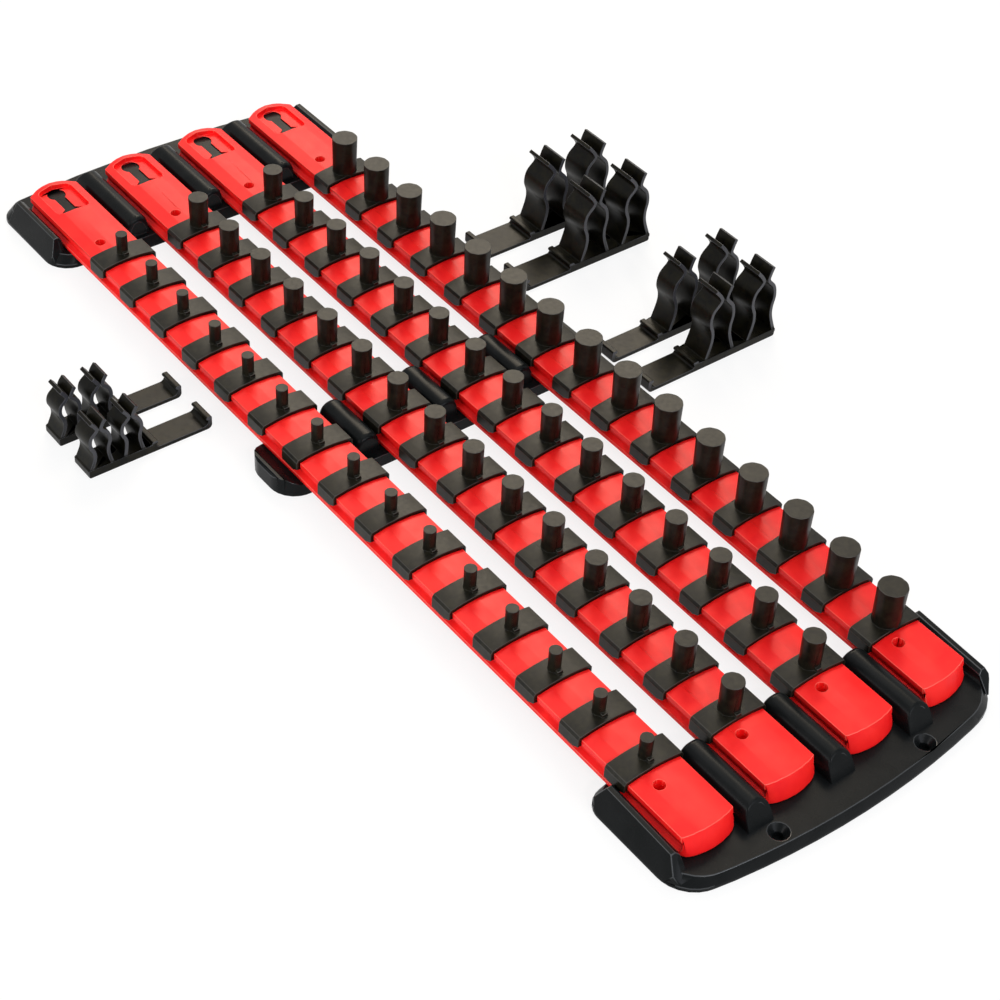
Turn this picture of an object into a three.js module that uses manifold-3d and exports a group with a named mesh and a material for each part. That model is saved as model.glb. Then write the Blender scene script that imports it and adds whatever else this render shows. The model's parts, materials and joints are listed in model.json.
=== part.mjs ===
import * as THREE from "three";
import { mergeVertices } from "three/addons/utils/BufferGeometryUtils.js";
import Module from "manifold-3d";

const wasm = await Module();
wasm.setup();

// Sizes shared by the whole holder, in millimetres
// The origin is on the underside of the middle tray, at its centre.
const overrun = 2;
const weldDistance = 0.0001;
const trayHalfWidth = 83.3;
const frontTrayNoseY = -275;
const rearTrayEdgeY = 231;
const railSideMargin = 22.1;
const railShares = [-1.5, -0.5, 0.5, 1.5];
const ribShares = [-1, 0, 1];
const railSpacing = (trayHalfWidth - railSideMargin) / railShares[3];
const floorZ = 6;
const restGap = 0.3;

// Rail sizes
const railFrontMargin = 17.4;
const railRearMargin = 8.1;
const railFrontY = frontTrayNoseY + railFrontMargin;
const railRearY = rearTrayEdgeY - railRearMargin;
const railFrontSag = 3;
const railRearSag = 4.5;
const railTopCornerRadius = 2;
const railFootCornerRadius = 4.5;
const railCornerSteps = 3;
const railEndShares = [-0.62, -0.3, 0, 0.3, 0.62];
const railFrontSlope = 2.8;
const railDraftShare = 0.15;
const deckHalfWidth = 12.4;
const flangeReach = 0.6;
const flangeHalfWidth = deckHalfWidth + flangeReach;
const flangeThickness = 1.7;
const deckRise = 1.3;
const deckRiseShare = 0.76;
const deckMidShare = 0.5;
const deckEdgeThickness = 2.5;
const deckThickness = 3.2;
const grooveDepth = 1.6;
const grooveFlare = 1.3;
const grooveHeight = 3.2;
const grooveStart = 4;
const grooveRunOut = 2.2;
const grooveRunOutShares = [0, 0.35, 1];
const grooveDepthShares = [0.05, 0.7, 1];
const channelWall = 2.4;
const channelHalfWidth = deckHalfWidth - grooveDepth - channelWall;
const channelFrontGap = 9;
const channelRearGap = 7.5;
const deckHoleRadius = 2.4;
const deckHoleDepth = 2.6;
const deckHoleOffset = 3.5;
const deckHoleFrontGap = 27.9;
const deckHoleRearGap = 54.8;
const deckHoleYs = [railFrontY + deckHoleFrontGap, railRearY - deckHoleRearGap];
const deckHoleSides = 12;

// How far each rail lies from its place in the trays, along Y
const railShifts = [-1.4, -0.2, 0.2, 0.4];

// How far the right end of each rail's nose lies behind its left end
const railNoseSkews = [0.4, 0.6, 0.8, 3];

// Heights of the rail, from the tray's floor up
const railUnderZ = floorZ + restGap;
const flangeTopZ = railUnderZ + flangeThickness;
const grooveFootZ = flangeTopZ + grooveFlare;
const deckUnderZ = grooveFootZ + grooveHeight;
const deckEdgeZ = deckUnderZ + deckEdgeThickness;
const deckTopZ = deckEdgeZ + deckRise;

// Keyhole sizes
const pocketSideWall = 4;
const pocketHalfWidth = deckHalfWidth - pocketSideWall;
const pocketRearGap = 2.2;
const pocketLength = 23;
const pocketDepth = 2.6;
const pocketRadius = 2.5;
const pocketSteps = 2;
const pocketFloorThickness = 1.4;
const pocketShellGap = 3;
const keyholeCentreGap = 4.7;
const keyholeRadius = 4.4;
const keyholeSides = 14;
const keySlotHalfWidth = 2.6;
const keyTailLength = 17.6;
const keyTailFlare = 4.6;
const keyTailHalfWidth = 5.2;
const keyTailNeckShare = 0.55;
const keyTailRoundShares = [0.78, 0.45];
const keyTailRiseShare = 0.18;

// Socket clip sizes
const clipCount = 15;
const pairCounts = [3, 3, 3, 4];
const clipRearGap = 70.4;
const clipFrontGap = 39.1;
const clipPitch = (railRearY - clipRearGap - railFrontY - clipFrontGap) / (clipCount - 1);
const clipLength = 11.5;
const clipThickness = 1.4;
const clipGap = 0.3;
const clipLegWall = 1.3;
const clipShoulder = 0.9;
const clipHookReach = 1.2;
const clipHookFootGap = 0.9;
const clipHookHeight = grooveHeight - clipGap - clipHookFootGap;
const clipChamferLength = 3.2;
const clipChamferHeight = 1.6;
const postRadii = [2.9, 5, 5, 6.5];
const postHeights = [9.3, 14.7, 15, 17.9];
const postTaperShare = 0.94;
const postChamfer = 0.5;
const postSides = 10;
const postRoot = 0.9;
const lugReach = 1.1;
const lugHalfWidth = 1.3;
const lugHeight = 1.4;

// Tray sizes
const lipZ = 2;
const bevelWidth = 3;
const frontTrayInnerY = -211.5;
const frontLobeStep = 5;
const frontTrayNoseRadius = 385;
const frontTrayNoseX = -6;
const noseBevel = 1.8;
const noseShares = [-1, -0.8, -0.6, -0.4, -0.2, 0, 0.2, 0.4, 0.6, 0.8, 1];
const noseEndGap = 22;
const noseHalfWidth = trayHalfWidth - noseEndGap;
const innerCornerRadius = 9;
const noseLeftRadius = 16;
const noseRightRadius = 22;
const cornerSteps = 7;
const innerBevel = 1.5;
const middleTrayHalfLength = 19;
const middleLobeStep = 2.7;
const middleCornerRadius = 12;
const middleEdgeZ = 8.6;
const middleEdgeRound = 1.1;
const middleRidgeWidth = 2.7;
const middleSlopeWidth = 5.4;
const middleRidgeX = trayHalfWidth - middleRidgeWidth;
const middleFloorX = middleRidgeX - middleSlopeWidth;
const rearTrayInnerY = 170;
const rearLobeStep = 5;
const lobeWidth = 17.3;
const lobeX = trayHalfWidth - lobeWidth;
const rearTrayBow = 5.5;
const rearBowShare = 0.5;
const rearBowRiseShare = 0.75;
const rearCornerRadius = 9;
const rearBevel = 1.5;
const screwInset = 3.6;
const screwX = railSpacing - screwInset;
const screwNoseGap = 8.6;
const screwY = frontTrayNoseY + screwNoseGap;
const screwHeadRadius = 4.3;
const screwShankRadius = 2;
const screwSinkDepth = 2.8;
const screwSides = 14;

// Rib and side ridge sizes
const ribWidthShare = 0.955;
const ribHalfWidth = (railSpacing / 2 - deckHalfWidth - clipGap - clipLegWall) * ribWidthShare;
const ribTopDrop = 0.3;
const ribTopZ = deckTopZ - ribTopDrop;
const ribRoot = 2;
const ribWidthShares = [1, 0.97, 0.86, 0.69, 0.4, 0];
const ribHeightShares = [0, 0.16, 0.42, 0.66, 0.9, 1];
const ribNoseGap = 18.7;
const ribNoseY = frontTrayNoseY + ribNoseGap;
const ribNoseLean = 5;
const ribNoseRound = 1.8;
const ribRearNoseGap = 10.5;
const ribRearNoseY = rearTrayEdgeY - ribRearNoseGap;
const ribNoseShares = [1, 0.3, 0];
const ribNoseSizeShares = [1, 0.975, 0.91];
const ribEndGap = 4;
const ribSlopeLength = 2.5;
const ribSlopeSizeShare = 0.8;
const ridgeWidth = 7.5;
const ridgeInnerX = trayHalfWidth - ridgeWidth;
const ridgeInnerRound = 1.6;
const ridgeTopX = ridgeInnerX + ridgeInnerRound;
const ridgeTopWidth = 2.2;
const ridgeShoulderX = ridgeTopX + ridgeTopWidth;
const ridgeTopDrop = 1.8;
const ridgeTopZ = deckEdgeZ - ridgeTopDrop;
const ridgeRound = 1.3;
const ridgeNoseGap = 19.5;
const ridgeFrontY = frontTrayNoseY + ridgeNoseGap;
const ridgeFrontSlope = 5;
const ridgeRearStartGap = 14;
const ridgeRearEndGap = 11.5;
const ridgeRearStartY = rearTrayInnerY + ridgeRearStartGap;
const ridgeRearEndY = rearTrayEdgeY - ridgeRearEndGap;
const ridgeRearSlope = 2;
const ridgeFrontStartGap = 8;
const ridgeFrontStartY = frontTrayInnerY - ridgeFrontStartGap;
const ridgeFrontStartSlope = 4;
const ridgeFrontDrop = 1.5;

// Tool clip sizes, small pair and large pairs
const stripThickness = 2;
const baseThickness = 4;
const hookThickness = 1.8;
const hookHeight = 5.6;
const hookLip = 2;
const ridgeHeight = 4.8;
const ridgeThickness = 2.2;
const seatLength = 25.4;
const fingerThickness = 1.7;
const fingerRootDepth = 1.5;
const fingerTaper = 1.2;
const smallHookInset = 1;
const smallHookX = smallHookInset - trayHalfWidth;
const smallTipZ = 26.4;
const smallGrip = 4.7;
const smallGaps = [3.7, 5.6, 2.9];
const smallStripYs = [[43, 55.5], [68, 80]];
const largeHookGap = 5.3;
const largeHookX = trayHalfWidth + largeHookGap;
const largeTipZ = 39.8;
const largeGrip = 8.4;
const largeGaps = [4, 8.2, 0.8];
const largeStripYs = [[44.2, 61], [74.6, 91.2], [-45, -30.5], [-19.8, -6.8]];
const fingerHeightShares = [0, 0.25, 0.4, 0.55, 0.7, 0.82, 0.9, 1];
const fingerGripShares = [1, 0.66, 0.64, 0.84, 0.72, 0.22, 0.3, 0.66];

// Colours and finishes
const redPlastic = { color: "#f0322b", roughness: 0.42, metalness: 0 };
const blackPlastic = { color: "#24231f", roughness: 0.4, metalness: 0 };
const glossBlackPlastic = { color: "#161616", roughness: 0.28, metalness: 0 };

// Solids from rings of points
const atZ = (outline, z) => outline.map(([x, y]) => new THREE.Vector3(x, y, z));
const atY = (profile, y) => profile.map(([x, z]) => new THREE.Vector3(x, y, z));
const atX = (profile, x) => profile.map(([y, z]) => new THREE.Vector3(x, y, z));

// The normal of a ring, as long as twice its area.
function ringNormal(ring) {
  const normal = new THREE.Vector3();
  ring.forEach((point, i) => {
    const next = ring[(i + 1) % ring.length];
    normal.add(new THREE.Vector3().crossVectors(point, next));
  });
  return normal;
}

// The triangles that close one ring, turned to face the given way.
function capFaces(ring, start, way) {
  const normal = ringNormal(ring);
  const sizes = [Math.abs(normal.x), Math.abs(normal.y), Math.abs(normal.z)];
  const drop = sizes.indexOf(Math.max(...sizes));
  const flat = ring.map((point) => {
    const kept = point.toArray().filter((value, i) => i !== drop);
    return new THREE.Vector2(...kept);
  });
  return THREE.ShapeUtils.triangulateShape(flat, []).map(([a, b, c]) => {
    const face = ringNormal([ring[a], ring[b], ring[c]]);
    const right = face.dot(normal) * way > 0;
    return right ? [start + a, start + b, start + c] : [start + a, start + c, start + b];
  });
}

// A closed geometry through rings that hold the same number of points.
function loft(rings) {
  const count = rings[0].length;
  const last = count * (rings.length - 1);
  const faces = capFaces(rings[0], 0, -1);
  faces.push(...capFaces(rings[rings.length - 1], last, 1));
  for (let start = 0; start < last; start += count) {
    for (let i = 0; i < count; i++) {
      const a = start + i;
      const b = start + ((i + 1) % count);
      faces.push([a, b, b + count], [a, b + count, a + count]);
    }
  }
  const points = rings.flat();
  const volume = faces.reduce((sum, [a, b, c]) => {
    return sum + new THREE.Vector3().crossVectors(points[a], points[b]).dot(points[c]);
  }, 0);
  const turned = volume < 0 ? faces.map(([a, b, c]) => [a, c, b]) : faces;
  return new THREE.BufferGeometry().setFromPoints(points).setIndex(turned.flat());
}

// A geometry as a solid that can be joined and cut.
function solidOf(geometry) {
  const plain = new THREE.BufferGeometry();
  plain.setAttribute("position", geometry.getAttribute("position"));
  plain.setIndex(geometry.index);
  const merged = mergeVertices(plain, weldDistance);
  const vertProperties = merged.getAttribute("position").array;
  const triVerts = new Uint32Array(merged.index.array);
  return new wasm.Manifold(new wasm.Mesh({ numProp: 3, vertProperties, triVerts }));
}

// The geometry of a finished solid.
function geometryOf(solid) {
  const mesh = solid.getMesh();
  const geometry = new THREE.BufferGeometry();
  geometry.setAttribute("position", new THREE.BufferAttribute(mesh.vertProperties, 3));
  geometry.setIndex(new THREE.BufferAttribute(mesh.triVerts, 1));
  return geometry;
}

// The same solid, moved in plan.
const moved = (solid, x, y) => solidOf(geometryOf(solid).translate(x, y, 0));

const prismY = (profile, y0, y1) => solidOf(loft([atY(profile, y0), atY(profile, y1)]));
const prismX = (profile, x0, x1) => solidOf(loft([atX(profile, x0), atX(profile, x1)]));
const prismZ = (outline, z0, z1) => solidOf(loft([atZ(outline, z0), atZ(outline, z1)]));

// A circle, or a regular outline with few sides, as points in a plane.
function circle(x, y, radius, sides) {
  return Array.from({ length: sides }, (none, i) => {
    const angle = ((i + 0.5) * 2 * Math.PI) / sides;
    return [x + radius * Math.cos(angle), y + radius * Math.sin(angle)];
  });
}

// An outline whose corners [x, y, radius] are rounded with the given number of steps.
function rounded(corners, steps) {
  return corners.flatMap(([x, y, radius], i) => {
    if (!radius) return [[x, y]];
    const here = new THREE.Vector2(x, y);
    const before = new THREE.Vector2(...corners.at(i - 1).slice(0, 2));
    const after = new THREE.Vector2(...corners[(i + 1) % corners.length].slice(0, 2));
    const back = before.sub(here).normalize();
    const ahead = after.sub(here).normalize();
    const half = Math.acos(back.dot(ahead)) / 2;
    const reach = radius / Math.tan(half);
    const from = here.clone().addScaledVector(back, reach);
    const to = here.clone().addScaledVector(ahead, reach);
    const toCentre = back.add(ahead).normalize();
    const centre = here.clone().addScaledVector(toCentre, radius / Math.sin(half));
    return Array.from({ length: steps + 1 }, (none, step) => {
      const way = from.clone().lerp(to, step / steps).sub(centre).normalize();
      return centre.clone().addScaledVector(way, radius).toArray();
    });
  });
}

// A half profile [x, z] from the middle outwards, mirrored to a closed one.
function mirrored(half) {
  const left = half.filter(([x]) => x > 0).map(([x, z]) => [-x, z]);
  return [...half, ...left.reverse()];
}

const flipped = (profile) => profile.map(([x, z]) => [-x, z]);

// Rails
// The plan of a rail with a bowed front and rear end and rounded corners.
function railPlan(frontY, halfWidth, cornerRadius, skew) {
  const frontAt = (share) => frontY + railFrontSag * share * share + (skew * (share + 1)) / 2;
  const front = railEndShares.map((share) => [share * halfWidth, frontAt(share), 0]);
  const rear = railEndShares.toReversed().map((share) => [
    share * halfWidth,
    railRearY - railRearSag * share * share,
    0,
  ]);
  const corners = [
    ...front,
    [halfWidth, frontAt(1), cornerRadius],
    [halfWidth, railRearY - railRearSag, cornerRadius],
    ...rear,
    [-halfWidth, railRearY - railRearSag, cornerRadius],
    [-halfWidth, frontAt(-1), cornerRadius],
  ];
  return rounded(corners, railCornerSteps);
}

const deckMidX = deckHalfWidth * deckMidShare;
const deckMidZ = deckEdgeZ + deckRise * deckRiseShare;
const grooveX = deckHalfWidth - grooveDepth;
const cutFootZ = railUnderZ - overrun;

// The rail's section, without its side grooves.
const railSection = mirrored([
  [0, deckTopZ],
  [deckMidX, deckMidZ],
  [deckHalfWidth, deckEdgeZ],
  [deckHalfWidth, deckUnderZ],
  [flangeHalfWidth, flangeTopZ],
  [flangeHalfWidth, railUnderZ],
]);

// One side groove's section, its wall at a share of its full depth.
function grooveSection(depthShare) {
  const wallX = flangeHalfWidth - (flangeHalfWidth - grooveX) * depthShare;
  const outerX = flangeHalfWidth + overrun;
  return [
    [wallX, deckUnderZ],
    [wallX, grooveFootZ],
    [flangeHalfWidth, flangeTopZ],
    [outerX, flangeTopZ],
    [outerX, deckUnderZ],
  ];
}

function grooves() {
  const startY = railFrontY + grooveStart;
  const rings = grooveRunOutShares.map((share, i) => {
    return [grooveSection(grooveDepthShares[i]), startY + grooveRunOut * share];
  });
  rings.push([grooveSection(1), railRearY + overrun]);
  const right = loft(rings.map(([section, y]) => atY(section, y)));
  const left = loft(rings.map(([section, y]) => atY(flipped(section), y)));
  return solidOf(right).add(solidOf(left));
}

// The pocket that the keyhole sits in follows the bowed rear end.
const pocketRearY = railRearY - pocketRearGap;
const pocketFrontY = railRearY - pocketRearGap - pocketLength;
const pocketBow = (railRearSag * pocketHalfWidth * pocketHalfWidth) / (deckHalfWidth * deckHalfWidth);
const pocketPlan = rounded(
  [
    [-pocketHalfWidth, pocketFrontY, pocketRadius],
    [pocketHalfWidth, pocketFrontY, pocketRadius],
    [pocketHalfWidth, pocketRearY - pocketBow, pocketRadius],
    [0, pocketRearY, 0],
    [-pocketHalfWidth, pocketRearY - pocketBow, pocketRadius],
  ],
  pocketSteps,
);
const pocketFloorZ = deckTopZ - pocketDepth;

// The keyhole's round end, its slot and its flared tail, as one cutting solid.
function keyhole() {
  const centreY = railRearY - pocketRearGap - keyholeCentreGap;
  const tailY = centreY - keyTailLength;
  const neckY = tailY + keyTailFlare;
  const hole = prismZ(circle(0, centreY, keyholeRadius, keyholeSides), cutFootZ, deckTopZ);
  const slot = [
    [keySlotHalfWidth, centreY],
    [keySlotHalfWidth, neckY],
    [keyTailHalfWidth, tailY + keyTailFlare * keyTailNeckShare],
    [keyTailHalfWidth * keyTailRoundShares[0], tailY + keyTailFlare * keyTailRiseShare],
    [keyTailHalfWidth * keyTailRoundShares[1], tailY],
  ];
  const plan = [...slot, ...flipped(slot).reverse()];
  return hole.add(prismZ(plan, cutFootZ, deckTopZ));
}

// The hollow below the deck, lower under the pocket's floor.
function channel() {
  const startY = railFrontY + channelFrontGap;
  const stepY = pocketFrontY - pocketShellGap;
  const endY = railRearY - channelRearGap;
  const highZ = deckTopZ - deckThickness;
  const lowZ = pocketFloorZ - pocketFloorThickness;
  const box = (topZ) => [
    [-channelHalfWidth, cutFootZ],
    [channelHalfWidth, cutFootZ],
    [channelHalfWidth, topZ],
    [-channelHalfWidth, topZ],
  ];
  return prismY(box(highZ), startY, stepY).add(prismY(box(lowZ), startY, endY));
}

function rail(skew) {
  const lowPlan = railPlan(railFrontY, flangeHalfWidth, railFootCornerRadius, skew);
  const topZ = deckTopZ + overrun;
  const topFrontY = railFrontY + railFrontSlope;
  const highPlan = railPlan(topFrontY, flangeHalfWidth, railTopCornerRadius, skew);
  const draftZ = railUnderZ + (deckTopZ - railUnderZ) * railDraftShare;
  const rings = [atZ(lowPlan, cutFootZ), atZ(lowPlan, draftZ), atZ(highPlan, deckTopZ), atZ(highPlan, topZ)];
  const block = prismY(railSection, railFrontY - overrun, railRearY + overrun);
  let body = solidOf(loft(rings)).intersect(block).subtract(grooves()).subtract(channel());
  body = body.subtract(prismZ(pocketPlan, pocketFloorZ, topZ)).subtract(keyhole());
  for (const y of deckHoleYs) {
    const plan = circle(-deckHoleOffset, y, deckHoleRadius, deckHoleSides);
    body = body.subtract(prismZ(plan, deckTopZ - deckHoleDepth, topZ));
  }
  return body;
}

// Socket clips
const clipInnerX = deckHalfWidth + clipGap;
const clipOuterX = clipInnerX + clipLegWall;
const clipTopZ = deckTopZ + clipGap + clipThickness;
const clipHookTopZ = deckUnderZ - clipGap;
const clipLegZ = clipHookTopZ - clipHookHeight;
const clipEndY = clipLength / 2;

const clipSection = mirrored([
  [0, clipTopZ],
  [deckMidX, deckMidZ + clipGap + clipThickness],
  [clipOuterX - clipShoulder, deckEdgeZ + clipGap + clipThickness],
  [clipOuterX, deckEdgeZ + clipGap],
  [clipOuterX, clipLegZ],
  [clipInnerX - clipHookReach, clipLegZ],
  [clipInnerX - clipHookReach, clipHookTopZ],
  [clipInnerX, clipHookTopZ],
  [clipInnerX, deckEdgeZ + clipGap],
  [deckMidX, deckMidZ + clipGap],
  [0, deckTopZ + clipGap],
]);

// The front corner at the foot of each leg is cut off at a slope.
function legCut() {
  const slope = clipChamferHeight / clipChamferLength;
  const outerY = -clipEndY - overrun;
  const innerY = clipChamferLength + overrun - clipEndY;
  const footZ = clipLegZ - overrun * slope;
  const headZ = clipLegZ + clipChamferHeight + overrun * slope;
  const reachX = clipOuterX + overrun;
  const lowZ = footZ - overrun;
  const profile = [[outerY, lowZ], [innerY, lowZ], [innerY, footZ], [outerY, headZ]];
  return prismX(profile, -reachX, reachX);
}

function post(radius, height) {
  const rootZ = clipTopZ - postRoot;
  const topZ = clipTopZ + height;
  const rootRadius = radius * postTaperShare;
  return loft([
    atZ(circle(0, 0, rootRadius, postSides), rootZ),
    atZ(circle(0, 0, radius, postSides), topZ - postChamfer),
    atZ(circle(0, 0, radius - postChamfer, postSides), topZ),
  ]);
}

function lug(radius) {
  const frontY = Math.max(-radius - lugReach, -clipEndY);
  const plan = [
    [-lugHalfWidth, lugReach - radius],
    [-lugHalfWidth, frontY],
    [lugHalfWidth, frontY],
    [lugHalfWidth, lugReach - radius],
  ];
  return prismZ(plan, clipTopZ - postRoot, clipTopZ + lugHeight);
}

function socketClip(radius, height) {
  const strap = prismY(clipSection, -clipEndY, clipEndY);
  const cut = strap.subtract(legCut());
  return cut.add(solidOf(post(radius, height))).add(lug(radius));
}

// Two neighbouring clips joined by a runner inside the groove on the right.
function clipPair(single) {
  const second = moved(single, 0, -clipPitch);
  const innerX = clipInnerX - clipHookReach;
  const section = [
    [innerX, clipLegZ],
    [clipInnerX, clipLegZ],
    [clipInnerX, clipHookTopZ],
    [innerX, clipHookTopZ],
  ];
  return single.add(second).add(prismY(section, -clipPitch, 0));
}

// Trays
// A rib's closed section around its own middle, at a share of its full size.
function ribRing(sizeShare) {
  const height = (ribTopZ - floorZ) * sizeShare;
  const sides = ribWidthShares.map((share, i) => [
    share * ribHalfWidth * sizeShare,
    floorZ + height * ribHeightShares[i],
  ]);
  return mirrored([...sides.reverse(), [ribHalfWidth * sizeShare, floorZ - ribRoot]]);
}

// A rib through a list of [y, size share, lean] stations.
// The lean is how far the rib's foot lies beyond its crest there.
function rib(stations, x) {
  const rings = stations.map(([y, share, lean]) => ribRing(share).map(([sideX, z]) => {
    const below = (ribTopZ - z) / (ribTopZ - floorZ);
    return new THREE.Vector3(x + sideX, y + lean * below, z);
  }));
  return solidOf(loft(rings));
}

// The stations of a rib's nose, the way being that from the nose to the rib's middle.
function ribNose(noseY, way) {
  return ribNoseShares.map((share, i) => {
    return [noseY + way * ribNoseRound * share, ribNoseSizeShares[i], -way * ribNoseLean];
  });
}

function addRibs(tray, stations) {
  return ribShares.reduce((sum, share) => sum.add(rib(stations, share * railSpacing)), tray);
}

const ridgeSection = [
  [ridgeInnerX, floorZ - ribRoot],
  [ridgeInnerX, ridgeTopZ - ridgeRound],
  [ridgeTopX, ridgeTopZ],
  [ridgeShoulderX, ridgeTopZ],
  [trayHalfWidth, lipZ],
  [trayHalfWidth - ribRoot, lipZ],
];

// The two side ridges, kept inside the tray's plan.
// Each end is its crest's y, the lean of its face and how far its crest drops.
function ridges(plan, start, end) {
  const ring = (section, [y, slope, drop]) => section.map(([x, z]) => {
    const lean = (ridgeTopZ - z) / (ridgeTopZ - floorZ);
    const lower = z > floorZ ? drop : 0;
    return new THREE.Vector3(x, y + slope * lean, z - lower);
  });
  const sides = [ridgeSection, flipped(ridgeSection)].map((section) => {
    return solidOf(loft([ring(section, start), ring(section, end)]));
  });
  return sides[0].add(sides[1]).intersect(prismZ(plan, 0, ridgeTopZ + overrun));
}

// The front tray's plan: stepped lobes behind, straight sides and a bowed nose.
function frontPlan(sideInset, innerInset, noseY, noseRadius) {
  const sideX = trayHalfWidth - sideInset;
  const lobeY = frontTrayInnerY - innerInset;
  const innerY = lobeY - frontLobeStep;
  const bowAt = (x) => {
    const aside = x - frontTrayNoseX;
    return noseY + noseRadius - Math.sqrt(noseRadius * noseRadius - aside * aside);
  };
  const nose = noseShares.map((share) => {
    const x = share * noseHalfWidth;
    return [x, bowAt(x), 0];
  });
  const corners = [
    [-sideX, lobeY, innerCornerRadius],
    [-sideX, bowAt(-sideX), noseLeftRadius],
    ...nose,
    [sideX, bowAt(sideX), noseRightRadius],
    [sideX, lobeY, innerCornerRadius],
    [lobeX, lobeY, 0],
    [lobeX - frontLobeStep, innerY, 0],
    [frontLobeStep - lobeX, innerY, 0],
    [-lobeX, lobeY, 0],
  ];
  return rounded(corners, cornerSteps);
}

// A countersunk screw hole as a cutting solid.
function screwHole(x) {
  const sinkZ = floorZ - screwSinkDepth;
  const head = circle(x, screwY, screwHeadRadius, screwSides);
  const shank = circle(x, screwY, screwShankRadius, screwSides);
  const rings = [atZ(shank, -overrun), atZ(shank, sinkZ), atZ(head, floorZ), atZ(head, floorZ + overrun)];
  return solidOf(loft(rings));
}

function frontTray() {
  const foot = frontPlan(0, 0, frontTrayNoseY, frontTrayNoseRadius);
  const rim = frontPlan(bevelWidth, innerBevel, frontTrayNoseY + noseBevel, frontTrayNoseRadius);
  const plate = solidOf(loft([atZ(foot, 0), atZ(foot, lipZ), atZ(rim, floorZ)]));
  const startY = frontTrayInnerY - frontLobeStep - ribEndGap;
  const stations = [
    [startY, ribSlopeSizeShare, 0],
    [startY - ribSlopeLength, 1, 0],
    ...ribNose(ribNoseY, 1),
  ];
  const start = [ridgeFrontStartY, ridgeFrontStartSlope, 0];
  const sides = ridges(foot, start, [ridgeFrontY, -ridgeFrontSlope, ridgeFrontDrop]);
  const tray = addRibs(plate.add(sides), stations);
  return tray.subtract(screwHole(-screwX)).subtract(screwHole(screwX));
}

function middleTray() {
  const section = mirrored([
    [0, floorZ],
    [middleFloorX, floorZ],
    [middleRidgeX, middleEdgeZ],
    [trayHalfWidth - middleEdgeRound, middleEdgeZ],
    [trayHalfWidth, middleEdgeZ - middleEdgeRound],
    [trayHalfWidth, 0],
    [0, 0],
  ]);
  const endY = middleTrayHalfLength;
  const lobeY = endY - middleLobeStep;
  const right = [
    [lobeX - middleLobeStep, -endY, 0],
    [lobeX, -lobeY, 0],
    [trayHalfWidth, -lobeY, middleCornerRadius],
    [trayHalfWidth, lobeY, middleCornerRadius],
    [lobeX, lobeY, 0],
    [lobeX - middleLobeStep, endY, 0],
  ];
  const left = right.map(([x, y, radius]) => [-x, -y, radius]);
  const plan = rounded([...right, ...left], cornerSteps);
  const plate = prismY(section, -endY, endY).intersect(prismZ(plan, -overrun, middleEdgeZ + overrun));
  const ribEndY = endY - ribEndGap;
  return addRibs(plate, [
    [-ribEndY, ribSlopeSizeShare, 0],
    [ribSlopeLength - ribEndY, 1, 0],
    [ribEndY - ribSlopeLength, 1, 0],
    [ribEndY, ribSlopeSizeShare, 0],
  ]);
}

// The rear tray's plan: stepped lobes in front, a slightly bowed edge behind.
function rearPlan(sideInset, innerInset, rearInset) {
  const sideX = trayHalfWidth - sideInset;
  const lobeY = rearTrayInnerY + rearLobeStep + innerInset;
  const innerY = rearTrayInnerY + innerInset;
  const edgeY = rearTrayEdgeY - rearInset;
  const midY = edgeY + rearTrayBow;
  const corners = [
    [-sideX, lobeY, middleCornerRadius],
    [-lobeX, lobeY, 0],
    [rearLobeStep - lobeX, innerY, 0],
    [lobeX - rearLobeStep, innerY, 0],
    [lobeX, lobeY, 0],
    [sideX, lobeY, middleCornerRadius],
    [sideX, edgeY, rearCornerRadius],
    [rearBowShare * sideX, rearBowRiseShare * (midY - edgeY) + edgeY, 0],
    [0, midY, 0],
    [-rearBowShare * sideX, rearBowRiseShare * (midY - edgeY) + edgeY, 0],
    [-sideX, edgeY, rearCornerRadius],
  ];
  return rounded(corners, cornerSteps);
}

function rearTray() {
  const foot = rearPlan(0, 0, 0);
  const rim = rearPlan(bevelWidth, innerBevel, rearBevel);
  const plate = solidOf(loft([atZ(foot, 0), atZ(foot, lipZ), atZ(rim, floorZ)]));
  const start = [ridgeRearStartY, -ridgeRearSlope, 0];
  const sides = ridges(foot, start, [ridgeRearEndY, ridgeRearSlope, 0]);
  const startY = rearTrayInnerY + ribEndGap;
  return addRibs(plate.add(sides), [
    [startY, ribSlopeSizeShare, 0],
    [startY + ribSlopeLength, 1, 0],
    ...ribNose(ribRearNoseY, -1),
  ]);
}

// Tool clips
// One wavy finger's section around its own path.
function fingerSection(pairX, side, grip, tipZ) {
  const rootZ = baseThickness - fingerRootDepth;
  const path = fingerHeightShares.map((share, i) => {
    const height = rootZ + (tipZ - rootZ) * share;
    return new THREE.Vector2(pairX + side * grip * fingerGripShares[i], height);
  });
  const half = fingerThickness / 2;
  const offset = (way) => path.map((point, i) => {
    const before = path[Math.max(i - 1, 0)];
    const after = path[Math.min(i + 1, path.length - 1)];
    const along = after.clone().sub(before).normalize();
    return [point.x - way * half * along.y, point.y + way * half * along.x];
  });
  return [...offset(1), ...offset(-1).reverse()];
}

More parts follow.
